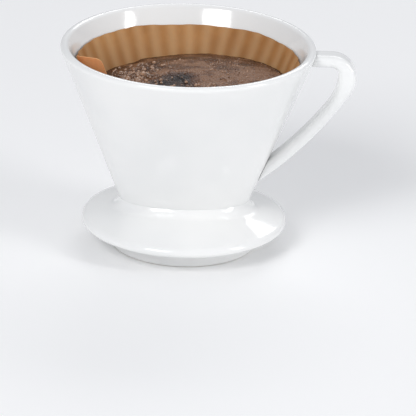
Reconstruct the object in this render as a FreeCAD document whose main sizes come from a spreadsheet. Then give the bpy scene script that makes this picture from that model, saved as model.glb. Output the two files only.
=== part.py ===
import FreeCAD, Part
import math
import os
import Sketcher

from FreeCAD import Placement, Rotation, Vector

# Porcelain pour-over dripper with a paper filter and blooming coffee in it.
#
# The frame stands on the seat plane, where the saucer's flat underside meets the rim of a mug:
# the origin is that plane's centre on the axis of the cone, +Z runs up the axis and +X points
# towards the handle. All sizes are in millimetres and live in the spreadsheet "Sizes".
#
# Porcelain: filter_cone, handle, saucer and locating_ring are made apart and luted together.
# Paper: filter_paper with its crimped paper_side_seam and paper_bottom_seam.
# Contents: wet_grounds under a cap of bloom_foam. Paper and contents lift out together.

# --- Driving dimensions: alias, value, what it measures --------------------------------------
SIZES = [
    ("rim_radius", 63, "outside of the cone at its rim"),
    ("rim_height", 92, "rim above the seat plane"),
    ("wall", 4.5, "porcelain of the cone, measured level"),
    ("rim_round", 1.9, "rounding of both rim edges"),
    ("neck_half_length", 30.5, "outside of the cone along X where it meets the saucer"),
    ("neck_half_width", 17, "outside of the cone along Y where it meets the saucer"),
    ("neck_height", 9, "that meeting above the seat plane"),
    ("outlet_half_length", 27.5, "outside of the outlet's foot along X"),
    ("outlet_half_width", 13, "outside of the outlet's foot along Y"),
    ("outlet_drop", 7, "outlet's foot below the seat plane"),
    ("floor_thickness", 4.5, "porcelain under the cavity"),
    ("floor_half_length", 22, "cavity floor along X"),
    ("floor_half_width", 3.5, "cavity floor along Y"),
    ("drip_hole", 4, "diameter of each drip hole"),
    ("drip_holes", 3, "how many drip holes"),
    ("drip_pitch", 13, "spacing of the drip holes"),
    ("rib_count", 36, "flow ribs round the cavity"),
    ("rib_radius", 1.3, "half round rib at its upper end"),
    ("rib_foot_radius", 0.8, "half round rib at its lower end"),
    ("rib_sink", 0.2, "depth of a rib's centre line in the wall"),
    ("rib_point", 4, "taper at both ends of a rib"),
    ("rib_start", 15, "lower end of the ribs above the seat plane"),
    ("rib_stop", 14, "upper end of the ribs below the rim"),
    ("saucer_radius", 50, "outside of the saucer"),
    ("saucer_edge", 4, "thickness of the saucer's edge"),
    ("crown_rise", 7.5, "dome of the saucer above its edge"),
    ("saucer_relief", 4, "hollow under the saucer, inside the locating ring"),
    ("saucer_round", 1.8, "rounding of the saucer's edge"),
    ("ring_radius", 36, "outside of the locating ring"),
    ("ring_wall", 4, "thickness of the locating ring"),
    ("ring_drop", 10, "foot of the locating ring below the seat plane"),
    ("ring_flange", 1, "wider root of the locating ring, let into the saucer"),
    ("foot_round", 1.2, "rounding of the ring's foot"),
    ("handle_reach", 82, "axis of the cone to the outermost point of the handle"),
    ("handle_drop", 2.5, "top of the handle below the rim"),
    ("handle_width", 12, "handle across, along Y"),
    ("arm_thickness", 5.8, "handle through its two arms"),
    ("bend_thickness", 8.9, "handle through its outer bend"),
    ("bend_radius", 12, "outer bend, on its outside"),
    ("back_radius", 190, "long lower arm, on its outside"),
    ("belly_radius", 25, "inside of the finger loop behind the bend"),
    ("corner_radius", 3.5, "upper inside corner of the finger loop"),
    ("handle_round", 2.5, "rounding of the handle's long edges"),
    ("handle_foot_reach", 31, "lower arm's end, inside the cone, from the axis"),
    ("handle_foot_height", 19.7, "the same end above the seat plane"),
    ("paper_gap", 1.6, "cavity wall to the paper, more than a rib stands out"),
    ("paper_thickness", 0.3, "filter paper"),
    ("paper_drop", 7.5, "paper's edge below the rim"),
    ("paper_floor_gap", 0.5, "cavity floor to the paper"),
    ("seam_width", 12, "crimped side seam, turned inwards"),
    ("seam_thickness", 0.6, "two crimped layers of paper"),
    ("seam_root", 0.15, "depth that the side seam is pressed into the paper"),
    ("seam_start", 9, "lower end of the side seam above the seat plane"),
    ("seam_turn", 17, "degrees that the side seam leans towards the front"),
    ("seam_round", 4, "rounded free corner of the side seam"),
    ("crimp_height", 8, "crimped bottom seam, folded up"),
    ("crimp_half_length", 15, "half of the bottom seam's length"),
    ("grounds_drop", 34, "top of the wet grounds below the rim"),
    ("foam_drop", 15, "highest point of the foam below the rim"),
    ("foam_dome", 240, "radius of the foam's dome"),
    ("foam_offset", 15, "crest of the foam from the axis, towards the handle"),
]

# --- Sizes that follow from them: alias and formula ------------------------------------------
DERIVED = [
    ("cavity_radius", "rim_radius - wall"),
    ("floor_height", "floor_thickness - outlet_drop"),
    ("saucer_top", "saucer_edge + crown_rise"),
    ("crown_radius", "(saucer_radius ^ 2 + crown_rise ^ 2) / (2 * crown_rise)"),
    ("ring_bore", "ring_radius - ring_wall"),
    ("root_radius", "ring_radius + ring_flange"),
    ("handle_top", "rim_height - handle_drop"),
    ("bend_reach", "handle_reach - bend_radius"),
    ("belly_reach", "handle_reach - bend_thickness - belly_radius"),
    ("inner_back_radius", "back_radius - arm_thickness"),
    ("rim_lean", "(rim_radius - neck_half_width) / (rim_height - neck_height)"),
    ("rim_fillet", "min(rim_round; 0.49 * wall / sqrt(1 + rim_lean ^ 2))"),
    ("lining_gap", "paper_gap + paper_thickness"),
    ("foam_height", "rim_height - foam_drop"),
    ("crimp_gap", "lining_gap + seam_thickness"),
]

# Levels at which something sits in the cavity, with the cavity's oval at each of them.
LEVELS = [
    ("paper_foot", "floor_height + paper_floor_gap"),
    ("lining_foot", "paper_foot_level + paper_thickness"),
    ("crimp_top", "lining_foot_level + crimp_height"),
    ("seam_foot", "seam_start"),
    ("rib_foot", "rib_start"),
    ("grounds_top", "rim_height - grounds_drop"),
    ("rib_top", "rim_height - rib_stop"),
    ("paper_edge", "rim_height - paper_drop"),
]
for level, formula in LEVELS:
    rise = f"({level}_level - floor_height) / (rim_height - floor_height)"
    DERIVED.append((f"{level}_level", formula))
    for half in ("half_length", "half_width"):
        DERIVED.append((f"{level}_{half}", f"floor_{half} + {rise} * (cavity_radius - floor_{half})"))

doc = FreeCAD.newDocument("pour_over_dripper")
sheet = doc.addObject("Spreadsheet::Sheet", "Sizes")
for row, (alias, value, meaning) in enumerate(SIZES, start=1):
    sheet.set(f"A{row}", meaning)
    sheet.set(f"B{row}", str(value))
    sheet.setAlias(f"B{row}", alias)
for row, (alias, formula) in enumerate(DERIVED, start=len(SIZES) + 1):
    sheet.set(f"A{row}", formula)
    sheet.set(f"B{row}", "=" + formula)
    sheet.setAlias(f"B{row}", alias)
    doc.recompute()


# --- Helpers ---------------------------------------------------------------------------------
def size(alias, less=None):
    """A value from the spreadsheet in millimetres, less another one."""
    return float(getattr(sheet, alias)) - (size(less) if less else 0)


def cell(alias, less=None, times=1):
    """The same as an expression that reads the spreadsheet."""
    difference = f"(Sizes.{alias} - Sizes.{less})" if less else f"Sizes.{alias}"
    return f"{times} * {difference}"


def new_body(name):
    body = doc.addObject("PartDesign::Body", name)
    body.Label = name
    return body


def new_sketch(body, name, role="XY_Plane", level=None, times=1):
    """A sketch on one of the body's own planes, lifted to a level of the spreadsheet."""
    plane = next(feature for feature in body.Origin.OriginFeatures if feature.Role == role)
    sketch = body.newObject("Sketcher::SketchObject", name)
    sketch.AttachmentSupport = [(plane, "")]
    sketch.MapMode = "FlatFace"
    if level:
        sketch.setExpression("AttachmentOffset.Base.z", cell(level, times=times))
    return sketch


START, END, CENTRE = 1, 2, 3
ORIGIN = (-1, START)
X_AXIS, Y_AXIS = -1, -2


def tie(sketch, kind, *references):
    """A constraint without a value, such as Horizontal or Tangent."""
    sketch.addConstraint(Sketcher.Constraint(kind, *references))


def measure(sketch, kind, *references, by, less=None, times=1):
    """A dimension that is bound to the spreadsheet."""
    value = times * size(by, less)
    index = sketch.addConstraint(Sketcher.Constraint(kind, *references, value))
    sketch.setExpression(f"Constraints[{index}]", cell(by, less, times))


def circle_sketch(body, name, radius, less=None, **place):
    """A circle on the axis."""
    sketch = new_sketch(body, name, **place)
    sketch.addGeometry(Part.Circle(Vector(), Vector(0, 0, 1), size(radius, less)), False)
    tie(sketch, "Coincident", 0, CENTRE, *ORIGIN)
    measure(sketch, "Radius", 0, by=radius, less=less)
    return sketch


def oval_sketch(body, name, oval, less=None, **place):
    """An ellipse on the axis, its long axis along X, from a pair of half lengths."""
    half_length, half_width = f"{oval}_half_length", f"{oval}_half_width"
    sketch = new_sketch(body, name, **place)
    long_end = Vector(size(half_length, less), 0, 0)
    short_end = Vector(0, size(half_width, less), 0)
    sketch.addGeometry(Part.Ellipse(long_end, short_end, Vector()), False)
    sketch.exposeInternalGeometry(0)
    long_axis, short_axis = 1, 2
    tie(sketch, "Coincident", 0, CENTRE, *ORIGIN)
    tie(sketch, "Horizontal", long_axis)
    measure(sketch, "Distance", long_axis, by=half_length, less=less, times=2)
    measure(sketch, "Distance", short_axis, by=half_width, less=less, times=2)
    return sketch


def loft(body, name, sketches, kind="AdditiveLoft"):
    """Straight lines from each section to the next."""
    feature = body.newObject("PartDesign::" + kind, name)
    feature.Profile = sketches[0]
    feature.Sections = sketches[1:]
    feature.Ruled = True
    return feature


def fit_into_cavity(body, name, low, high, gap, kind="AdditiveLoft"):
    """The cavity's own shape between two levels, standing off its wall by a gap."""
    ovals = [
        oval_sketch(body, f"{name}_{level}", level, less=gap, level=f"{level}_level")
        for level in (low, high)
    ]
    return loft(body, name, ovals, kind)


def round_edges(body, name, radius, wanted):
    """A fillet on those edges of the body so far that a test picks out."""
    doc.recompute()
    base = body.Tip
    edges = [f"Edge{n}" for n, edge in enumerate(base.Shape.Edges, start=1) if wanted(edge)]
    feature = body.newObject("PartDesign::Fillet", name)
    feature.Base = (base, edges)
    feature.setExpression("Radius", cell(radius))
    return feature


def is_at(edge, radius, height):
    """Whether an edge is a circle round the axis with that radius, at that height."""
    if abs(edge.BoundBox.ZMin - height) + abs(edge.BoundBox.ZMax - height) > 1e-3:
        return False
    return isinstance(edge.Curve, Part.Circle) and abs(edge.Curve.Radius - radius) < 1e-3


def combine(kind, name, base, tool):
    """A boolean of two objects, as an object of its own."""
    feature = doc.addObject("Part::" + kind, name)
    feature.Base = base
    feature.Tool = tool
    feature.Label = name
    return feature


def outline(sketch, pieces):
    """Adds curves that already follow one another to a sketch."""
    for piece in pieces:
        sketch.addGeometry(piece, False)


def turned(body, name, sketch):
    """A sketch turned once round the Z axis."""
    feature = body.newObject("PartDesign::Revolution", name)
    feature.Profile = sketch
    feature.ReferenceAxis = (sketch, ["V_Axis"])
    feature.Angle = 360
    return feature


# --- Porcelain -------------------------------------------------------------------------------
def cone_outside(body, name):
    """Round at the rim, oval where it enters the saucer and on down to the outlet."""
    rim = circle_sketch(body, name + "_rim", "rim_radius", level="rim_height")
    neck = oval_sketch(body, name + "_neck", "neck", level="neck_height")
    outlet = oval_sketch(body, name + "_outlet", "outlet", level="outlet_drop", times=-1)
    return loft(body, name, [rim, neck, outlet])


def flow_rib(angle):
    """A slim rod with pointed ends, half sunk in the wall along one of its straight lines."""
    foot, top = [
        Vector(
            (size(f"{level}_half_length") + size("rib_sink")) * math.cos(angle),
            (size(f"{level}_half_width") + size("rib_sink")) * math.sin(angle),
            size(f"{level}_level"),
        )
        for level in ("rib_foot", "rib_top")
    ]
    length, small, large = (top - foot).Length, size("rib_foot_radius"), size("rib_radius")
    point = size("rib_point")
    profile = [(0, 0), (small, point), (large, length - point), (0, length), (0, 0)]
    side = Part.makePolygon([Vector(across, 0, up) for across, up in profile])
    rib = Part.Face(side).revolve(Vector(), Vector(0, 0, 1), 360)
    rib.Placement = Placement(foot, Rotation(Vector(0, 0, 1), top - foot))
    return rib


def flow_ribs():
    """The ribs stand at equal steps round the cavity, clear of its four axes."""
    step = 2 * math.pi / size("rib_count")
    feature = doc.addObject("Part::Feature", "flow_ribs")
    ribs = [flow_rib((number + 0.5) * step) for number in range(int(size("rib_count")))]
    feature.Shape = Part.makeCompound(ribs)
    return feature


def make_filter_cone():
    body = new_body("cone_shell")
    cone_outside(body, "cone_wall")
    mouth = circle_sketch(body, "cavity_mouth", "cavity_radius", level="rim_height")
    floor = oval_sketch(body, "cavity_floor", "floor", level="floor_height")
    loft(body, "cavity", [mouth, floor], kind="SubtractiveLoft")
    height = size("rim_height")
    rim_radii = size("rim_radius"), size("cavity_radius")
    round_edges(
        body, "rim_rounding", "rim_fillet", lambda edge: any(is_at(edge, r, height) for r in rim_radii)
    )

    hole = new_sketch(body, "drip_hole_outline", level="outlet_drop", times=-1)
    first = -size("drip_pitch") * (size("drip_holes") - 1) / 2
    hole.addGeometry(Part.Circle(Vector(first, 0, 0), Vector(0, 0, 1), size("drip_hole") / 2), False)
    tie(hole, "PointOnObject", 0, CENTRE, X_AXIS)
    measure(hole, "Diameter", 0, by="drip_hole")
    index = hole.addConstraint(Sketcher.Constraint("DistanceX", 0, CENTRE, *ORIGIN, -first))
    hole.setExpression(f"Constraints[{index}]", "Sizes.drip_pitch * (Sizes.drip_holes - 1) / 2")
    pocket = body.newObject("PartDesign::Pocket", "first_drip_hole")
    pocket.Profile = hole
    pocket.Type = "ThroughAll"
    pocket.Reversed = True
    row = body.newObject("PartDesign::LinearPattern", "drip_hole_row")
    row.Originals = [pocket]
    row.Direction = (hole, ["H_Axis"])
    row.Mode = "Spacing"
    row.setExpression("Offset", cell("drip_pitch"))
    row.setExpression("Occurrences", cell("drip_holes"))
    body.Tip = row
    return combine("Fuse", "filter_cone", body, flow_ribs())


def make_handle(cone_blank):
    """A flat bar: level top arm, round outer bend, long lower arm that runs back to the cone."""
    top, under = size("handle_top"), size("handle_top", "arm_thickness")
    foot_x, foot_z = size("handle_foot_reach"), size("handle_foot_height")
    bend, back, inner_back = size("bend_radius"), size("back_radius"), size("inner_back_radius")
    belly, corner = size("belly_radius"), size("corner_radius")

    # Each arc's centre follows from the two curves that it touches.
    bend_at = Vector(size("bend_reach"), top - bend, 0)
    chord = Vector(foot_x, foot_z, 0) - bend_at
    reach = (chord.Length**2 + (back - bend) ** 2 - back**2) / (2 * chord.Length)
    along = chord * (1 / chord.Length)
    aside = Vector(along.y, -along.x, 0)
    back_at = bend_at + along * reach + aside * math.sqrt((back - bend) ** 2 - reach**2)
    belly_x = size("belly_reach")
    belly_fall = math.sqrt((inner_back - belly) ** 2 - (belly_x - back_at.x) ** 2)
    belly_at = Vector(belly_x, back_at.y - belly_fall, 0)
    corner_z = under - corner
    corner_run = math.sqrt((belly - corner) ** 2 - (corner_z - belly_at.y) ** 2)
    corner_at = Vector(belly_x + corner_run, corner_z, 0)
    inner_z = back_at.y - math.sqrt(inner_back**2 - (foot_x - back_at.x) ** 2)

    def heading(start, end):
        return math.atan2(end.y - start.y, end.x - start.x)

    def line(start_x, start_z, end_x, end_z):
        return Part.LineSegment(Vector(start_x, start_z, 0), Vector(end_x, end_z, 0))

    def arc(centre, radius, start, end):
        circle = Part.Circle(centre, Vector(0, 0, 1), radius)
        return Part.ArcOfCircle(circle, start, end)

    to_bend, to_belly = heading(back_at, bend_at), heading(back_at, belly_at)
    to_corner = heading(belly_at, corner_at)
    foot_end, inner_end = Vector(foot_x, foot_z, 0), Vector(foot_x, inner_z, 0)
    body = new_body("handle_bar")
    sketch = new_sketch(body, "handle_outline", role="XZ_Plane")
    TOP, BEND, BACK, FOOT, INNER, BELLY, CORNER, UNDER, ROOT = range(9)
    outline(
        sketch,
        [
            line(foot_x, top, bend_at.x, top),
            arc(bend_at, bend, to_bend, math.pi / 2),
            arc(back_at, back, heading(back_at, foot_end), to_bend),
            line(foot_x, foot_z, foot_x, inner_z),
            arc(back_at, inner_back, heading(back_at, inner_end), to_belly),
            arc(belly_at, belly, to_belly, to_corner),
            arc(corner_at, corner, to_corner, math.pi / 2),
            line(corner_at.x, under, foot_x, under),
            line(foot_x, under, foot_x, top),
        ],
    )
    for level_line in (TOP, UNDER):
        tie(sketch, "Horizontal", level_line)
    for upright in (FOOT, ROOT):
        tie(sketch, "Vertical", upright)
    tie(sketch, "Tangent", TOP, END, BEND, END)
    tie(sketch, "Tangent", BEND, START, BACK, END)
    tie(sketch, "Tangent", INNER, END, BELLY, START)
    tie(sketch, "Tangent", BELLY, END, CORNER, START)
    tie(sketch, "Tangent", CORNER, END, UNDER, START)
    tie(sketch, "Coincident", BACK, START, FOOT, START)
    tie(sketch, "Coincident", FOOT, END, INNER, START)
    tie(sketch, "Coincident", UNDER, END, ROOT, START)
    tie(sketch, "Coincident", ROOT, END, TOP, START)
    tie(sketch, "Coincident", BACK, CENTRE, INNER, CENTRE)
    measure(sketch, "Radius", BEND, by="bend_radius")
    measure(sketch, "Radius", BACK, by="back_radius")
    measure(sketch, "Radius", INNER, by="inner_back_radius")
    measure(sketch, "Radius", BELLY, by="belly_radius")
    measure(sketch, "Radius", CORNER, by="corner_radius")
    measure(sketch, "DistanceY", *ORIGIN, TOP, START, by="handle_top")
    measure(sketch, "DistanceY", UNDER, START, TOP, START, by="arm_thickness")
    measure(sketch, "DistanceX", *ORIGIN, TOP, START, by="handle_foot_reach")
    measure(sketch, "DistanceX", *ORIGIN, BACK, START, by="handle_foot_reach")
    measure(sketch, "DistanceY", *ORIGIN, BACK, START, by="handle_foot_height")
    measure(sketch, "DistanceX", *ORIGIN, BEND, CENTRE, by="bend_reach")
    measure(sketch, "DistanceX", *ORIGIN, BELLY, CENTRE, by="belly_reach")

    bar = body.newObject("PartDesign::Pad", "handle_pad")
    bar.Profile = sketch
    bar.SideType = "Symmetric"
    bar.setExpression("Length", cell("handle_width"))
    half = size("handle_width") / 2

    def long_edge(edge):
        box = edge.BoundBox
        on_a_side = abs(abs(box.YMin) - half) < 1e-3 and box.YLength < 1e-3
        upright = box.XLength < 1e-3
        return on_a_side and not upright

    round_edges(body, "handle_rounding", "handle_round", long_edge)
    return combine("Cut", "handle", body, cone_blank)


def make_saucer(cone_blank):
    """A shallow dome with a level seat under its edge and a hollow that takes the ring's root."""
    body = new_body("saucer_disc")
    radius, edge, top = size("saucer_radius"), size("saucer_edge"), size("saucer_top")
    bore, relief, crown = size("root_radius"), size("saucer_relief"), size("crown_radius")
    sketch = new_sketch(body, "saucer_outline", role="XZ_Plane")
    middle = Vector(0, top - crown, 0)
    lean = math.asin(radius / crown)
    dome = Part.Circle(middle, Vector(0, 0, 1), crown)
    corners = [(radius, edge), (radius, 0), (bore, 0), (bore, relief), (0, relief), (0, top)]
    points = [Vector(across, up, 0) for across, up in corners]
    EDGE, SEAT, STEP, HOLLOW, MIDDLE, DOME = range(6)
    outline(
        sketch,
        [Part.LineSegment(a, b) for a, b in zip(points, points[1:])]
        + [Part.ArcOfCircle(dome, math.pi / 2 - lean, math.pi / 2)],
    )
    for first, second in ((EDGE, SEAT), (SEAT, STEP), (STEP, HOLLOW), (HOLLOW, MIDDLE)):
        tie(sketch, "Coincident", first, END, second, START)
    tie(sketch, "Coincident", MIDDLE, END, DOME, END)
    tie(sketch, "Coincident", DOME, START, EDGE, START)
    for upright in (EDGE, STEP):
        tie(sketch, "Vertical", upright)
    tie(sketch, "Horizontal", HOLLOW)
    tie(sketch, "PointOnObject", SEAT, START, X_AXIS)
    tie(sketch, "PointOnObject", SEAT, END, X_AXIS)
    tie(sketch, "PointOnObject", MIDDLE, START, Y_AXIS)
    tie(sketch, "PointOnObject", MIDDLE, END, Y_AXIS)
    tie(sketch, "PointOnObject", DOME, CENTRE, Y_AXIS)
    measure(sketch, "DistanceX", *ORIGIN, SEAT, START, by="saucer_radius")
    measure(sketch, "DistanceY", *ORIGIN, EDGE, START, by="saucer_edge")
    measure(sketch, "DistanceX", *ORIGIN, SEAT, END, by="root_radius")
    measure(sketch, "DistanceY", *ORIGIN, MIDDLE, START, by="saucer_relief")
    measure(sketch, "DistanceY", *ORIGIN, MIDDLE, END, by="saucer_top")
    turned(body, "saucer_turned", sketch)
    round_edges(
        body, "saucer_rounding", "saucer_round", lambda e: is_at(e, radius, 0) or is_at(e, radius, edge)
    )
    return combine("Cut", "saucer", body, cone_blank)


def make_locating_ring(cone_blank):
    """Drops into the mug and keeps the dripper on it; its wider root fills the saucer's hollow."""
    body = new_body("ring_band")
    inside, outside, drop = size("ring_bore"), size("ring_radius"), size("ring_drop")
    root, top = size("root_radius"), size("saucer_relief")
    corners = [(inside, -drop), (outside, -drop), (outside, 0), (root, 0), (root, top), (inside, top)]
    points = [Vector(across, up, 0) for across, up in corners]
    sketch = new_sketch(body, "ring_outline", role="XZ_Plane")
    outline(sketch, [Part.LineSegment(a, b) for a, b in zip(points, points[1:] + points[:1])])
    FOOT, OUTSIDE, SEAT, ROOT, TOP, INSIDE = range(6)
    for side in range(6):
        tie(sketch, "Coincident", side, END, (side + 1) % 6, START)
    for level in (FOOT, TOP):
        tie(sketch, "Horizontal", level)
    for upright in (OUTSIDE, ROOT, INSIDE):
        tie(sketch, "Vertical", upright)
    tie(sketch, "PointOnObject", SEAT, START, X_AXIS)
    tie(sketch, "PointOnObject", SEAT, END, X_AXIS)
    measure(sketch, "DistanceX", *ORIGIN, SEAT, START, by="ring_radius")
    measure(sketch, "DistanceX", *ORIGIN, SEAT, END, by="root_radius")
    measure(sketch, "DistanceX", *ORIGIN, TOP, END, by="ring_bore")
    measure(sketch, "DistanceY", *ORIGIN, TOP, END, by="saucer_relief")
    measure(sketch, "DistanceY", FOOT, START, *ORIGIN, by="ring_drop")
    turned(body, "ring_turned", sketch)
    round_edges(
        body, "ring_rounding", "foot_round", lambda e: is_at(e, inside, -drop) or is_at(e, outside, -drop)
    )
    return combine("Cut", "locating_ring", body, cone_blank)


# --- Paper -----------------------------------------------------------------------------------
def make_filter_paper():
    body = new_body("filter_paper")
    fit_into_cavity(body, "paper_outside", "paper_foot", "paper_edge", "paper_gap")
    fit_into_cavity(body, "paper_inside", "lining_foot", "paper_edge", "lining_gap", "SubtractiveLoft")
    return body


def make_side_seam():
    """A crimped strip along the paper's line opposite the handle, leaning towards the front."""
    body = new_body("paper_side_seam")
    width, root = size("seam_width"), size("seam_root")
    low, high = size("seam_foot_level"), size("paper_edge_level")
    foot_x = -size("seam_foot_half_length", "lining_gap")
    edge_x = -size("paper_edge_half_length", "lining_gap")
    corners = [(foot_x - root, low), (foot_x + width, low), (edge_x + width, high), (edge_x - root, high)]
    points = [Vector(across, up, 0) for across, up in corners]
    sketch = new_sketch(body, "seam_outline", role="XZ_Plane")
    outline(sketch, [Part.LineSegment(a, b) for a, b in zip(points, points[1:] + points[:1])])
    FOOT, FREE, EDGE, ROOT = range(4)
    for side in (FOOT, FREE, EDGE, ROOT):
        tie(sketch, "Coincident", side, END, (side + 1) % 4, START)
    tie(sketch, "Horizontal", FOOT)
    tie(sketch, "Horizontal", EDGE)
    measure(sketch, "DistanceY", *ORIGIN, FOOT, START, by="seam_foot_level")
    measure(sketch, "DistanceY", *ORIGIN, EDGE, START, by="paper_edge_level")
    lines = ((FOOT, START, END, "seam_foot"), (EDGE, END, START, "paper_edge"))
    for side, rooted, free, level in lines:
        half = f"(Sizes.{level}_half_length - Sizes.lining_gap)"
        start, end = sketch.getPoint(side, rooted), sketch.getPoint(side, free)
        out = sketch.addConstraint(Sketcher.Constraint("DistanceX", side, rooted, *ORIGIN, -start.x))
        sketch.setExpression(f"Constraints[{out}]", f"{half} + Sizes.seam_root")
        across = Sketcher.Constraint("DistanceX", side, rooted, side, free, end.x - start.x)
        index = sketch.addConstraint(across)
        sketch.setExpression(f"Constraints[{index}]", "Sizes.seam_width + Sizes.seam_root")
    strip = body.newObject("PartDesign::Pad", "seam_pad")
    strip.Profile = sketch
    strip.SideType = "Symmetric"
    strip.setExpression("Length", cell("seam_thickness"))

    def free_corner(edge):
        box = edge.BoundBox
        return box.ZMin > high - 1e-3 and abs(box.XMin - edge_x - width) + box.XLength < 1e-3

    round_edges(body, "seam_rounding", "seam_round", free_corner)
    hinge_foot = Vector(foot_x, 0, low)
    hinge = Vector(edge_x, 0, high) - hinge_foot
    body.Placement = Placement(Vector(), Rotation(hinge, -size("seam_turn")), hinge_foot)
    return body


def make_bottom_seam():
    """The crimped bottom edge, folded up inside along the front wall of the paper."""
    body = new_body("crimp_oval")
    fit_into_cavity(body, "crimp_outside", "lining_foot", "crimp_top", "lining_gap")
    fit_into_cavity(body, "crimp_inside", "lining_foot", "crimp_top", "crimp_gap", "SubtractiveLoft")
    window = doc.addObject("Part::Box", "crimp_window")
    window.setExpression("Length", cell("crimp_half_length", times=2))
    window.setExpression("Width", cell("rim_radius"))
    window.setExpression("Height", cell("rim_height"))
    window.setExpression("Placement.Base.x", cell("crimp_half_length", times=-1))
    window.setExpression("Placement.Base.y", cell("rim_radius", times=-1))
    window.setExpression("Placement.Base.z", cell("floor_height"))
    return combine("Common", "paper_bottom_seam", body, window)


# --- Contents --------------------------------------------------------------------------------
def make_wet_grounds(side_seam, bottom_seam):
    body = new_body("grounds_fill")
    fit_into_cavity(body, "grounds", "lining_foot", "grounds_top", "lining_gap")
    beside_seam = combine("Cut", "grounds_beside_seam", body, side_seam)
    return combine("Cut", "wet_grounds", beside_seam, bottom_seam)


def make_bloom_foam(side_seam):
    """A flat dome of foam, highest towards the handle."""
    body = new_body("foam_fill")
    fit_into_cavity(body, "foam", "grounds_top", "paper_edge", "lining_gap")
    dome = doc.addObject("Part::Sphere", "foam_dome")
    dome.setExpression("Radius", cell("foam_dome"))
    dome.setExpression("Placement.Base.x", cell("foam_offset"))
    dome.setExpression("Placement.Base.z", cell("foam_height", "foam_dome"))
    domed = combine("Common", "foam_under_dome", body, dome)
    return combine("Cut", "bloom_foam", domed, side_seam)


# --- Assembly, checks and export -------------------------------------------------------------
cone_blank = new_body("cone_blank")
cone_outside(cone_blank, "blank_wall")
side_seam, bottom_seam = make_side_seam(), make_bottom_seam()
NODES = {
    "filter_cone": make_filter_cone(),
    "handle": make_handle(cone_blank),
    "saucer": make_saucer(cone_blank),
    "locating_ring": make_locating_ring(cone_blank),
    "filter_paper": make_filter_paper(),
    "paper_side_seam": side_seam,
    "paper_bottom_seam": bottom_seam,
    "wet_grounds": make_wet_grounds(side_seam, bottom_seam),
    "bloom_foam": make_bloom_foam(side_seam),
}
doc.recompute()

for item in doc.Objects:
    if "Invalid" in item.State or "Error" in item.State:
        raise RuntimeError(f"{item.Name} did not recompute: {item.State}")
    if item.TypeId == "Sketcher::SketchObject" and not item.FullyConstrained:
        raise RuntimeError(f"{item.Name} is not fully constrained")
for name, node in NODES.items():
    if node.Shape.isNull() or not node.Shape.isValid() or len(node.Shape.Solids) != 1:
        raise RuntimeError(f"{name} is not one valid solid")
    node.Label = name

os.makedirs("parts", exist_ok=True)
for name, node in NODES.items():
    node.Shape.exportStep(f"parts/{name}.step")
    print(f"{name}: {node.Shape.Volume / 1000:.3f} cm3")
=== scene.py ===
import math
import random

import bmesh
import bpy
from mathutils import Matrix, Vector, noise

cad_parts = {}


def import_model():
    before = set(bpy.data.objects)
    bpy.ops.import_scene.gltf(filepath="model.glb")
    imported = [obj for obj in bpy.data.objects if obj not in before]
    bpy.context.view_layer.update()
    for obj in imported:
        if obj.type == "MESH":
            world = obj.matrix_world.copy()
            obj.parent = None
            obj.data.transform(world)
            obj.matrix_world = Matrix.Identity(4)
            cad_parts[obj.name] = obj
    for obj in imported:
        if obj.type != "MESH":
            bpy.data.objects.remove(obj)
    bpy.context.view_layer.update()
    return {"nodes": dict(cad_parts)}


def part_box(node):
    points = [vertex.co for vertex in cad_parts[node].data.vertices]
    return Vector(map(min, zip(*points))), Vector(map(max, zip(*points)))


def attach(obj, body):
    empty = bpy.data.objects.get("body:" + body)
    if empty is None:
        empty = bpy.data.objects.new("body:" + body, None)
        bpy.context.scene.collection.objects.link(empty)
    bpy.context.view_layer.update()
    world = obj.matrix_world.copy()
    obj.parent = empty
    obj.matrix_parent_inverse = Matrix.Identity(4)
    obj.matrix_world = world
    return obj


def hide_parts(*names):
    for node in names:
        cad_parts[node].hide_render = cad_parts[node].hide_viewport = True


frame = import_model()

MM = 0.001

# --- Driving sizes, in millimetres, in the frame of the CAD pieces ---------------------------
RIM_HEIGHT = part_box("filter_cone")[1][2] / MM
RIM_OUTSIDE = 63.0
RIM_INSIDE = 58.5
RIM_OUTER_ROUND, RIM_INNER_ROUND = 2.95, 1.35
NECK = (30.5, 17.0, 9.0)
OUTLET = (27.5, 13.0, -7.0)
CAVITY_FLOOR = (22.0, 3.5, -2.5)
DRIP_HOLE = 2.0
DRIP_PITCH = 13.0
RIBS = 36
SAUCER_RADIUS = 50.0
SAUCER_EDGE = 4.0
SAUCER_TOP = 11.5
SAUCER_HOLLOW = 4.0
COLLAR = 5.5
RING_INSIDE, RING_OUTSIDE, RING_ROOT, RING_FOOT = 32.0, 36.0, 37.0, -10.0
PAPER_GAP, PAPER_THICKNESS = 1.6, 0.3
PAPER_FOOT = -2.0
PAPER_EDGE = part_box("filter_paper")[1][2] / MM
FOAM_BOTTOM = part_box("bloom_foam")[0][2] / MM
FOAM_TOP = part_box("bloom_foam")[1][2] / MM
FOAM_DOME = 240.0
FOAM_CREST = 15.0


# --- Mesh helpers ----------------------------------------------------------------------------
def finish_piece(name, bm, body, slot, material, *nodes):
    """A finished mesh piece that rides on a body and stands for its CAD nodes."""
    bmesh.ops.scale(bm, vec=(MM, MM, MM), verts=bm.verts)
    mesh = bpy.data.meshes.new(name)
    bm.to_mesh(mesh)
    bm.free()
    return place_mesh(name, mesh, body, slot, material, *nodes)


def place_mesh(name, mesh, body, slot, material, *nodes):
    piece = bpy.data.objects.new(name, mesh)
    bpy.context.scene.collection.objects.link(piece)
    mesh.materials.clear()
    mesh.materials.append(material)
    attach(piece, body)
    if nodes:
        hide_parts(*nodes)
    return piece


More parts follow.
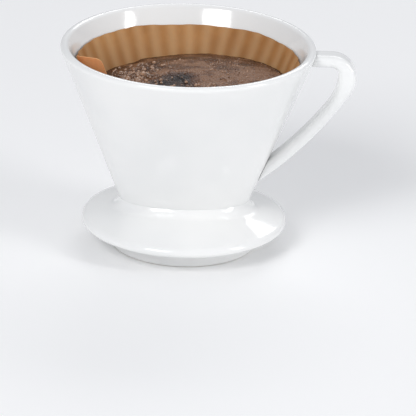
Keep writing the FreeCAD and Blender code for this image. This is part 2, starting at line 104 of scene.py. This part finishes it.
def ring_stack(bm, stations, segments):
    """Rings of vertices from (half length, half width, height), each extruded from the last."""
    half_length, half_width, height = stations[0]
    verts = bmesh.ops.create_circle(bm, segments=segments, radius=1)["verts"]
    edges = list({edge for vert in verts for edge in vert.link_edges})
    place = Matrix.Translation((0, 0, height)) @ Matrix.Diagonal((half_length, half_width, 1, 1))
    bmesh.ops.transform(bm, matrix=place, verts=verts)
    rings, edge_rings = [verts], [edges]
    for before, after in zip(stations, stations[1:]):
        grown = bmesh.ops.extrude_edge_only(bm, edges=edges)["geom"]
        verts = [item for item in grown if isinstance(item, bmesh.types.BMVert)]
        fresh = set(verts)
        edges = [
            item
            for item in grown
            if isinstance(item, bmesh.types.BMEdge) and fresh.issuperset(item.verts)
        ]
        lift = Matrix.Translation((0, 0, after[2] - before[2]))
        level = Matrix.Translation((0, 0, before[2]))
        grow = Matrix.Diagonal((after[0] / before[0], after[1] / before[1], 1, 1))
        bmesh.ops.transform(bm, matrix=lift @ level @ grow @ level.inverted(), verts=verts)
        rings.append(verts)
        edge_rings.append(edges)
    return rings, edge_rings


def cap(bm, edges):
    """A flat face on a ring, with a crisp edge round it."""
    bmesh.ops.edgeloop_fill(bm, edges=edges)
    for edge in edges:
        edge.smooth = False


def smooth_all(bm):
    bmesh.ops.recalc_face_normals(bm, faces=bm.faces)
    for face in bm.faces:
        face.smooth = True


def round_rings(bm, edges, radius, segments=5):
    bmesh.ops.bevel(
        bm,
        geom=edges,
        offset=radius,
        offset_type="OFFSET",
        segments=segments,
        profile=0.5,
        affect="EDGES",
        material=-1,
        clamp_overlap=True,
    )


def between(low, high, count):
    """Stations at equal steps from one to another, without the first."""
    steps = [step / count for step in range(1, count + 1)]
    return [tuple(a + (b - a) * step for a, b in zip(low, high)) for step in steps]


def cavity(height, gap=0.0):
    """Half length and half width of the cavity at a height, standing off its wall."""
    share = (height - CAVITY_FLOOR[2]) / (RIM_HEIGHT - CAVITY_FLOOR[2])
    return [foot + (RIM_INSIDE - foot) * share - gap for foot in CAVITY_FLOOR[:2]]


def baked(source, *modifiers):
    """A mesh with its modifiers applied; the source object goes."""
    for kind, settings in modifiers:
        modifier = source.modifiers.new(kind.title(), kind)
        for key, value in settings.items():
            setattr(modifier, key, value)
    graph = bpy.context.evaluated_depsgraph_get()
    mesh = bpy.data.meshes.new_from_object(source.evaluated_get(graph))
    bpy.data.objects.remove(source)
    return mesh


def loose(name, mesh):
    """An object for a mesh that is still being made."""
    thing = bpy.data.objects.new(name, mesh)
    bpy.context.scene.collection.objects.link(thing)
    return thing


# --- Materials -------------------------------------------------------------------------------
class Finish:
    """A material with a Principled shader and short ways to add nodes to it."""

    def __init__(self, name, **sockets):
        self.material = bpy.data.materials.new(name)
        self.material.use_nodes = True
        self.nodes = self.material.node_tree.nodes
        self.links = self.material.node_tree.links
        self.shader = self.nodes["Principled BSDF"]
        self.place = self.nodes.new("ShaderNodeTexCoord").outputs["Object"]
        for socket, value in sockets.items():
            self.shader.inputs[socket.replace("_", " ")].default_value = value

    def add(self, kind, links=(), **settings):
        node = self.nodes.new("ShaderNode" + kind)
        for key, value in settings.items():
            if hasattr(node, key):
                setattr(node, key, value)
            else:
                node.inputs[key.replace("_", " ")].default_value = value
        for source, socket in links:
            self.links.new(source, node.inputs[socket])
        return node

    def noise(self, scale, detail=3.0, stretch=(1, 1, 1)):
        spread = self.add("Mapping", [(self.place, "Vector")], Scale=stretch)
        links = [(spread.outputs["Vector"], "Vector")]
        return self.add("TexNoise", links, Scale=scale, Detail=detail).outputs["Fac"]

    def cells(self, scale):
        return self.add("TexVoronoi", [(self.place, "Vector")], Scale=scale).outputs["Distance"]

    def attribute(self, name):
        return self.add("Attribute", attribute_name=name).outputs["Fac"]

    def height(self):
        split = self.add("SeparateXYZ", [(self.place, "Vector")])
        return split.outputs["Z"]

    def ramp(self, source, *stops):
        node = self.add("ValToRGB", [(source, "Fac")])
        elements = node.color_ramp.elements
        while len(elements) < len(stops):
            elements.new(0.5)
        for element, (position, colour) in zip(elements, stops):
            element.position = position
            element.color = (*colour, 1) if len(colour) == 3 else colour
        return node.outputs["Color"]

    def map(self, source, low, high, start, end):
        links = [(source, "Value")]
        node = self.add("MapRange", links, From_Min=low, From_Max=high, To_Min=start, To_Max=end)
        return node.outputs["Result"]

    def mix(self, factor, first, second, blend="MIX"):
        node = self.add("Mix", data_type="RGBA", blend_type=blend)
        for source, index in ((factor, 0), (first, 6), (second, 7)):
            if isinstance(source, (float, tuple)):
                node.inputs[index].default_value = source
            else:
                self.links.new(source, node.inputs[index])
        return node.outputs[2]

    def feed(self, **sources):
        for socket, source in sources.items():
            self.links.new(source, self.shader.inputs[socket.replace("_", " ")])

    def bump(self, *layers):
        """Bumps one on another: pairs of a height and its depth in metres."""
        normal = None
        for source, depth in layers:
            links = [(source, "Height")] + ([(normal, "Normal")] if normal else [])
            normal = self.add("Bump", links, Distance=depth, Strength=1.0).outputs["Normal"]
        self.links.new(normal, self.shader.inputs["Normal"])


def porcelain_finish():
    """White glaze that pools a little, over a biscuit foot that was wiped bare."""
    finish = Finish("glazed_porcelain", IOR=1.52, Coat_Weight=0.35, Coat_Roughness=0.04)
    cloud = finish.noise(22, detail=2)
    glaze = finish.ramp(cloud, (0.35, (0.86, 0.865, 0.86)), (0.65, (0.9, 0.9, 0.89)))
    bare = finish.map(finish.height(), -0.0098, -0.0094, 1.0, 0.0)
    finish.feed(
        Base_Color=finish.mix(bare, glaze, (0.83, 0.8, 0.74, 1)),
        Roughness=finish.map(bare, 0, 1, 0.13, 0.65),
    )
    finish.bump((finish.noise(45, detail=1), 0.00004), (finish.noise(1500, detail=2), 0.000003))
    return finish.material


def paper_finish(name, dry, wet, translucency):
    """Unbleached paper: fibres, blotches of coffee, and painted light in stripes over the ribs."""
    finish = Finish(name, Roughness=0.72, Specular_IOR_Level=0.3)
    blotches = finish.noise(38, detail=5)
    base = finish.ramp(blotches, (0.3, wet), (0.7, dry))
    fibres = finish.noise(420, detail=4, stretch=(1, 1, 0.35))
    flecked = finish.mix(0.35, base, finish.ramp(fibres, (0.35, wet), (0.6, dry)), "MULTIPLY")
    soaked = finish.map(finish.height(), 0.070, 0.0835, 0.75, 0.0)
    brown = finish.mix(soaked, flecked, (0.3, 0.14, 0.05, 1))
    # Painted light: the paper is lightened towards pale peach in stripes that follow its ripple over the
    # ribs.
    painted_rib_light = finish.map(finish.attribute("ripple_light"), -1, 1, 0.0, 0.2)
    finish.feed(Base_Color=finish.mix(painted_rib_light, brown, (0.86, 0.62, 0.36, 1)))
    finish.shader.inputs["Subsurface Weight"].default_value = translucency
    finish.shader.inputs["Subsurface Radius"].default_value = (0.004, 0.002, 0.001)
    finish.bump((fibres, 0.00008), (blotches, 0.0001))
    return finish.material


def grounds_finish():
    finish = Finish("wet_coffee_grounds", Roughness=0.4)
    grains = finish.cells(900)
    finish.feed(Base_Color=finish.ramp(grains, (0.1, (0.03, 0.014, 0.007)), (0.7, (0.11, 0.05, 0.025))))
    finish.bump((grains, 0.0004), (finish.noise(300), 0.0003))
    return finish.material


def foam_finish():
    """Fine tan foam that thins to dark, glossy coffee."""
    finish = Finish("coffee_foam", Specular_IOR_Level=0.4)
    cream = finish.attribute("cream")
    streaks = finish.noise(70, detail=6, stretch=(1, 2.2, 1))
    blend = finish.add("Math", [(cream, 0), (streaks, 1)], operation="ADD").outputs[0]
    colour = finish.ramp(
        blend,
        (0.45, (0.012, 0.004, 0.002)),
        (0.68, (0.05, 0.018, 0.008)),
        (0.9, (0.14, 0.058, 0.026)),
        (1.0, (0.26, 0.13, 0.07)),
    )
    cells = finish.cells(1100)
    froth = finish.ramp(cells, (0.1, (0.62, 0.62, 0.62)), (0.6, (1.0, 1.0, 1.0)))
    finish.feed(
        Base_Color=finish.mix(0.7, colour, froth, "MULTIPLY"),
        Roughness=finish.map(cream, 0, 1, 0.16, 0.5),
    )
    finish.bump((cells, 0.00045), (finish.noise(220, detail=5), 0.0006))
    return finish.material


def bubble_finish():
    finish = Finish("coffee_bubbles", Roughness=0.05, IOR=1.33, Coat_Weight=1.0, Coat_Roughness=0.02)
    tint = finish.noise(160)
    finish.feed(Base_Color=finish.ramp(tint, (0.35, (0.1, 0.045, 0.022)), (0.7, (0.5, 0.3, 0.19))))
    finish.bump((finish.noise(900), 0.00002))
    return finish.material


PORCELAIN = porcelain_finish()
PAPER = paper_finish("unbleached_paper", (0.62, 0.35, 0.14), (0.42, 0.2, 0.06), 0.1)
# Painted light: the seam paper is the same unbleached paper in a lighter, lit copy.
LIT_SEAM_PAPER = paper_finish("crimped_paper_painted_light", (0.86, 0.47, 0.22), (0.7, 0.33, 0.13), 0.35)
GROUNDS = grounds_finish()
FOAM = foam_finish()
BUBBLES = bubble_finish()


# --- Porcelain -------------------------------------------------------------------------------
def filter_cone():
    bm = bmesh.new()
    rim_out = (RIM_OUTSIDE, RIM_OUTSIDE, RIM_HEIGHT)
    rim_in = (RIM_INSIDE, RIM_INSIDE, RIM_HEIGHT)
    stations = [OUTLET, *between(OUTLET, NECK, 2), *between(NECK, rim_out, 10), rim_in]
    stations += between(rim_in, CAVITY_FLOOR, 12)
    rings, edges = ring_stack(bm, stations, 192)
    bmesh.ops.edgeloop_fill(bm, edges=edges[0])
    bmesh.ops.edgeloop_fill(bm, edges=edges[-1])
    outer_rim, inner_rim = edges[12], edges[13]
    foot_edges = list(edges[0])
    floor_edges = list(edges[-1])
    round_rings(bm, outer_rim, RIM_OUTER_ROUND, segments=8)
    round_rings(bm, [edge for edge in inner_rim if edge.is_valid], RIM_INNER_ROUND, segments=6)
    round_rings(bm, [edge for edge in foot_edges if edge.is_valid], 1.0, segments=3)
    round_rings(bm, [edge for edge in floor_edges if edge.is_valid], 0.8, segments=3)
    smooth_all(bm)
    shell_mesh = bpy.data.meshes.new("cone_shell")
    bm.to_mesh(shell_mesh)
    bm.free()

    holes = bmesh.new()
    for side in (-1, 0, 1):
        middle = Matrix.Translation((side * DRIP_PITCH, 0, OUTLET[2] / 2 + CAVITY_FLOOR[2] / 2))
        bmesh.ops.create_cone(
            holes, cap_ends=True, segments=32, radius1=DRIP_HOLE, radius2=DRIP_HOLE, depth=8, matrix=middle
        )
    hole_mesh = bpy.data.meshes.new("drip_holes")
    holes.to_mesh(hole_mesh)
    holes.free()
    cutter = loose("drip_holes", hole_mesh)
    drilled = baked(loose("cone_shell", shell_mesh), ("BOOLEAN", {"object": cutter, "solver": "EXACT"}))
    bpy.data.objects.remove(cutter)

    bm = bmesh.new()
    bm.from_mesh(drilled)
    for number in range(RIBS):
        angle = 2 * math.pi * (number + 0.5) / RIBS
        ends = []
        for height in (16.5, RIM_HEIGHT - 15):
            half_length, half_width = cavity(height, gap=-0.2)
            ends.append(Vector((half_length * math.cos(angle), half_width * math.sin(angle), height)))
        foot, top = ends
        run = top - foot
        turn = Vector((0, 0, 1)).rotation_difference(run).to_matrix().to_4x4()
        matrix = Matrix.Translation((foot + top) / 2) @ turn
        rod = bmesh.ops.create_cone(
            bm, cap_ends=True, segments=14, radius1=0.8, radius2=1.3, depth=run.length, matrix=matrix
        )
        ends = {vert for vert in rod["verts"]}
        for face in {face for vert in ends for face in vert.link_faces}:
            face.smooth = len(face.verts) == 4
    finish_piece("glazed_cone", bm, "dripper", "porcelain", PORCELAIN, "filter_cone")


def dome(across):
    """Height of the saucer's top at a distance from the axis."""
    return SAUCER_EDGE + (SAUCER_TOP - SAUCER_EDGE) * (1 - (across / SAUCER_RADIUS) ** 2)


def cone_wall(height, sink=0.0):
    """Half length and half width of the cone's outside above the neck."""
    share = (height - NECK[2]) / (RIM_HEIGHT - NECK[2])
    return [foot + (RIM_OUTSIDE - foot) * share - sink for foot in NECK[:2]]


def saucer():
    """A dome whose glaze runs up round the cone in one smooth collar."""
    bm = bmesh.new()
    inner = cone_wall(13.2, sink=0.4)
    collar_foot = [half + COLLAR for half in inner]
    top_rings = between((47.6, 47.6, 0), (*collar_foot, 0), 14)
    curl = [math.radians(step * 10) for step in range(1, 10)]
    collar = [(*[half + COLLAR * (1 - math.sin(turn)) for half in inner], 0) for turn in curl]
    edge = [
        (48.2, 48.2, 0.0),
        (49.3, 49.3, 0.45),
        (49.9, 49.9, 1.4),
        (50.0, 50.0, 2.3),
        (49.75, 49.75, 3.4),
        (48.9, 48.9, 4.25),
        (47.6, 47.6, 4.6),
    ]
    under = [(26.0, 11.5, SAUCER_HOLLOW), (RING_ROOT, RING_ROOT, SAUCER_HOLLOW), (RING_ROOT, RING_ROOT, 0)]
    stations = under + edge + top_rings + collar
    rings, edges = ring_stack(bm, stations, 192)
    bmesh.ops.bridge_loops(bm, edges=edges[0] + edges[-1])
    first_top = len(under) + len(edge)
    for number, ring in enumerate(rings[first_top - 1:]):
        turn = curl[number - 15] if number > 14 else 0
        for vert in ring:
            vert.co.z = dome(vert.co.xy.length) + COLLAR * (1 - math.cos(turn))
    smooth_all(bm)
    for ring_edges in edges[1:3]:
        for item in ring_edges:
            item.smooth = False
    finish_piece("glazed_saucer", bm, "dripper", "porcelain", PORCELAIN, "saucer")


def locating_ring():
    bm = bmesh.new()
    corners = [
        (RING_INSIDE, SAUCER_HOLLOW),
        (RING_INSIDE, RING_FOOT),
        (RING_OUTSIDE, RING_FOOT),
        (RING_OUTSIDE, 0),
        (RING_ROOT, 0),
        (RING_ROOT, SAUCER_HOLLOW),
    ]
    rings, edges = ring_stack(bm, [(across, across, up) for across, up in corners], 160)
    bmesh.ops.bridge_loops(bm, edges=edges[0] + edges[-1])
    round_rings(bm, edges[1] + edges[2], 1.2)
    smooth_all(bm)
    for item in (edge for ring in (edges[0], edges[3], edges[4], edges[5]) for edge in ring if edge.is_valid):
        item.smooth = False
    finish_piece("glazed_locating_ring", bm, "dripper", "porcelain", PORCELAIN, "locating_ring")


def handle():
    """The bar with its edges softened by the glaze."""
    bm = bmesh.new()
    bm.from_mesh(frame["nodes"]["handle"].data)
    bmesh.ops.remove_doubles(bm, verts=bm.verts, dist=1e-6)
    mesh = bpy.data.meshes.new("handle_bar")
    bm.to_mesh(mesh)
    bm.free()
    bar = baked(
        loose("handle_bar", mesh),
        ("REMESH", {"mode": "VOXEL", "voxel_size": 0.0005}),
        ("SMOOTH", {"factor": 0.5, "iterations": 12}),
    )
    for polygon in bar.polygons:
        polygon.use_smooth = True
    place_mesh("glazed_handle", bar, "dripper", "porcelain", PORCELAIN, "handle")


# --- Paper -----------------------------------------------------------------------------------
def filter_paper():
    """Wet paper that dips a little between the ribs, with a slightly uneven edge."""
    bm = bmesh.new()
    ripple_light = bm.verts.layers.float.new("ripple_light")
    outside = [(*cavity(PAPER_FOOT, PAPER_GAP), PAPER_FOOT)]
    outside += between(outside[0], (*cavity(PAPER_EDGE, PAPER_GAP), PAPER_EDGE), 26)
    lining = PAPER_GAP + PAPER_THICKNESS
    foot = PAPER_FOOT + PAPER_THICKNESS
    inner_edge = (*cavity(PAPER_EDGE, lining), PAPER_EDGE)
    inside = [inner_edge, *between(inner_edge, (*cavity(foot, lining), foot), 26)]
    rings, edges = ring_stack(bm, outside + inside, 288)
    cap(bm, edges[0])
    cap(bm, edges[-1])
    for ring in rings:
        for vert in ring:
            angle = math.atan2(vert.co.y / RIM_INSIDE, vert.co.x / RIM_INSIDE)
            height = vert.co.z
            wave = math.cos(RIBS * angle + 0.6 * noise.noise(vert.co * 0.05))
            fade = max(0.0, min(1.0, (height - 12) / 20))
            outward = Vector((math.cos(angle), math.sin(angle), 0))
            vert.co += outward * (0.22 * wave * fade)
            near_edge = max(0.0, (height - 70) / (PAPER_EDGE - 70))
            vert.co.z -= near_edge * (0.55 + 0.3 * math.sin(5 * angle) + 0.2 * math.sin(11 * angle + 1))
            # The ripple also drives the painted light stripes in the paper's colour.
            vert[ripple_light] = wave * fade
    smooth_all(bm)
    for item in edges[26] + edges[27]:
        item.smooth = False
    finish_piece("wet_filter_paper", bm, "filter", "filter_paper", PAPER, "filter_paper")


# --- Coffee ----------------------------------------------------------------------------------
CRATER = Vector((-6, -4))
MOUND = Vector((27, 4))


def bump_round(place, middle, radius):
    """1 at a middle, falling smoothly to 0 at a radius."""
    share = min(1.0, (place - middle).length / radius)
    return (1 - share * share) ** 2


def foam_height(place):
    """Top of the foam at a place in plan."""
    base = FOAM_TOP - 1.2 - ((place.x - FOAM_CREST) ** 2 + place.y**2) / (2 * FOAM_DOME)
    lumps = noise.fractal(Vector((place.x, place.y, 3)) * 0.09, 1.0, 2.0, 4) * 0.55
    grain = noise.noise(Vector((place.x, place.y, 9)) * 0.8) * 0.12
    hollow = 2.6 * bump_round(place, CRATER, 17)
    swell = 1.0 * bump_round(place, MOUND, 26)
    return min(base + lumps + grain - hollow + swell, FOAM_TOP)


def foam():
    bm = bmesh.new()
    cream = bm.verts.layers.float.new("cream")
    half_length, half_width = cavity(FOAM_BOTTOM, PAPER_GAP + PAPER_THICKNESS + 0.25)
    rim_height = FOAM_TOP - 6
    top_length, top_width = cavity(rim_height, PAPER_GAP + PAPER_THICKNESS + 0.25)
    stations = [(half_length, half_width, FOAM_BOTTOM), (top_length, top_width, rim_height)]
    stations += between(stations[-1], (0.6, 0.6, rim_height), 70)
    rings, edges = ring_stack(bm, stations, 220)
    cap(bm, edges[0])
    bmesh.ops.edgeloop_fill(bm, edges=edges[-1])
    for number, ring in enumerate(rings[1:]):
        for vert in ring:
            place = vert.co.xy
            vert.co.z = foam_height(place)
            froth = 0.34 + 0.3 * noise.fractal(Vector((place.x, place.y, 0)) * 0.07, 1.0, 2.0, 3)
            froth += 0.3 * bump_round(place, MOUND, 30) - 0.5 * bump_round(place, CRATER, 15)
            froth += 0.22 * bump_round(place, Vector((-30, -10)), 24)
            froth -= 0.25 if number < 2 else 0.0
            vert[cream] = max(0.0, min(1.0, froth))
    smooth_all(bm)
    finish_piece("blooming_foam", bm, "filter", "foam", FOAM, "bloom_foam")


def bubbles():
    """Half sunk bubbles: a cluster opposite the handle, and finer ones over the rest."""
    ball = bmesh.new()
    bmesh.ops.create_uvsphere(ball, u_segments=9, v_segments=6, radius=1)
    drop = bpy.data.meshes.new("bubble")
    ball.to_mesh(drop)
    ball.free()
    bm = bmesh.new()
    dice = random.Random(7)
    swarms = [
        (Vector((-31, -8)), 17, 330, 0.55, 1.7),
        (Vector((-24, 14)), 16, 130, 0.4, 1.2),
        (Vector((-4, -20)), 16, 170, 0.35, 1.1),
        (Vector((26, -20)), 20, 190, 0.25, 0.8),
        (Vector((18, 12)), 26, 160, 0.25, 0.6),
    ]
    for middle, spread, count, small, large in swarms:
        for _ in range(count):
            away = Vector((dice.gauss(0, 0.5), dice.gauss(0, 0.5))) * spread
            radius = small + (large - small) * dice.random() ** 2.2
            place = middle + away
            half_length, half_width = cavity(FOAM_TOP - 6, PAPER_GAP + PAPER_THICKNESS + radius + 0.4)
            if (place.x / half_length) ** 2 + (place.y / half_width) ** 2 > 1:
                continue
            sunk = foam_height(place) + 0.15 * radius
            squat = Matrix.Diagonal((radius, radius, 0.8 * radius, 1))
            bubble = drop.copy()
            bubble.transform(Matrix.Translation((place.x, place.y, sunk)) @ squat)
            bm.from_mesh(bubble)
            bpy.data.meshes.remove(bubble)
    bpy.data.meshes.remove(drop)
    smooth_all(bm)
    finish_piece("foam_bubbles", bm, "filter", "foam", BUBBLES)


filter_cone()
saucer()
locating_ring()
handle()
filter_paper()
foam()
bubbles()
# The seams take the lighter, lit copy of the paper, which is painted light.
for node, material in (
    ("paper_side_seam", LIT_SEAM_PAPER),
    ("paper_bottom_seam", LIT_SEAM_PAPER),
    ("wet_grounds", GROUNDS),
):
    mesh = frame["nodes"][node].data
    mesh.materials.clear()
    mesh.materials.append(material)


# --- Floor, light and camera -----------------------------------------------------------------
def floor():
    bm = bmesh.new()
    bmesh.ops.create_grid(bm, x_segments=1, y_segments=1, size=6)
    bmesh.ops.translate(bm, vec=(0, 0, RING_FOOT * MM), verts=bm.verts)
    mesh = bpy.data.meshes.new("floor")
    bm.to_mesh(mesh)
    bm.free()
    finish = Finish("pale_floor", Roughness=0.8)
    finish.feed(Base_Color=finish.ramp(finish.noise(3), (0.3, (0.95, 0.95, 0.95)), (0.7, (0.97, 0.97, 0.97))))
    mesh.materials.append(finish.material)
    loose("floor", mesh)


def lamp(name, place, size, power, colour=(1, 1, 1)):
    data = bpy.data.lights.new(name, "AREA")
    data.shape = "RECTANGLE"
    data.size, data.size_y = size
    data.energy = power
    data.color = colour
    light = bpy.data.objects.new(name, data)
    bpy.context.scene.collection.objects.link(light)
    light.location = place
    light.rotation_euler = (Vector((0, 0, 0.05)) - Vector(place)).to_track_quat("-Z", "Y").to_euler()


def world():
    space = bpy.data.worlds.new("studio")
    bpy.context.scene.world = space
    space.use_nodes = True
    nodes, links = space.node_tree.nodes, space.node_tree.links
    soft = nodes["Background"]
    soft.inputs["Color"].default_value = (0.93, 0.95, 1.0, 1)
    soft.inputs["Strength"].default_value = 0.5
    white = nodes.new("ShaderNodeBackground")
    white.inputs["Strength"].default_value = 1.0
    path, blend = nodes.new("ShaderNodeLightPath"), nodes.new("ShaderNodeMixShader")
    links.new(path.outputs["Is Camera Ray"], blend.inputs["Fac"])
    links.new(soft.outputs[0], blend.inputs[1])
    links.new(white.outputs[0], blend.inputs[2])
    links.new(blend.outputs[0], nodes["World Output"].inputs["Surface"])


def camera():
    """A long lens, a little above the rim, tilted a touch."""
    data = bpy.data.cameras.new("camera")
    data.lens, data.sensor_width = 441, 36
    data.clip_end = 50
    view = bpy.data.objects.new("camera", data)
    bpy.context.scene.collection.objects.link(view)
    aim, distance, elevation = Vector((0.0118, 0, 0.0072)), 2.5, math.radians(21.6)
    back = Vector((0, -math.cos(elevation), math.sin(elevation)))
    view.location = aim + back * distance
    roll = Matrix.Rotation(math.radians(1.7), 3, "Z")
    view.rotation_euler = (back.to_track_quat("Z", "Y").to_matrix() @ roll).to_euler()
    bpy.context.scene.camera = view


floor()
world()
lamp("key", (-0.9, -1.5, 1.35), (0.9, 0.9), 20)
lamp("side", (1.5, -0.7, 0.7), (0.3, 1.0), 9)
lamp("back", (0.3, 1.5, 1.2), (1.2, 0.6), 6)
camera()
bpy.context.scene.view_settings.view_transform = "Standard"
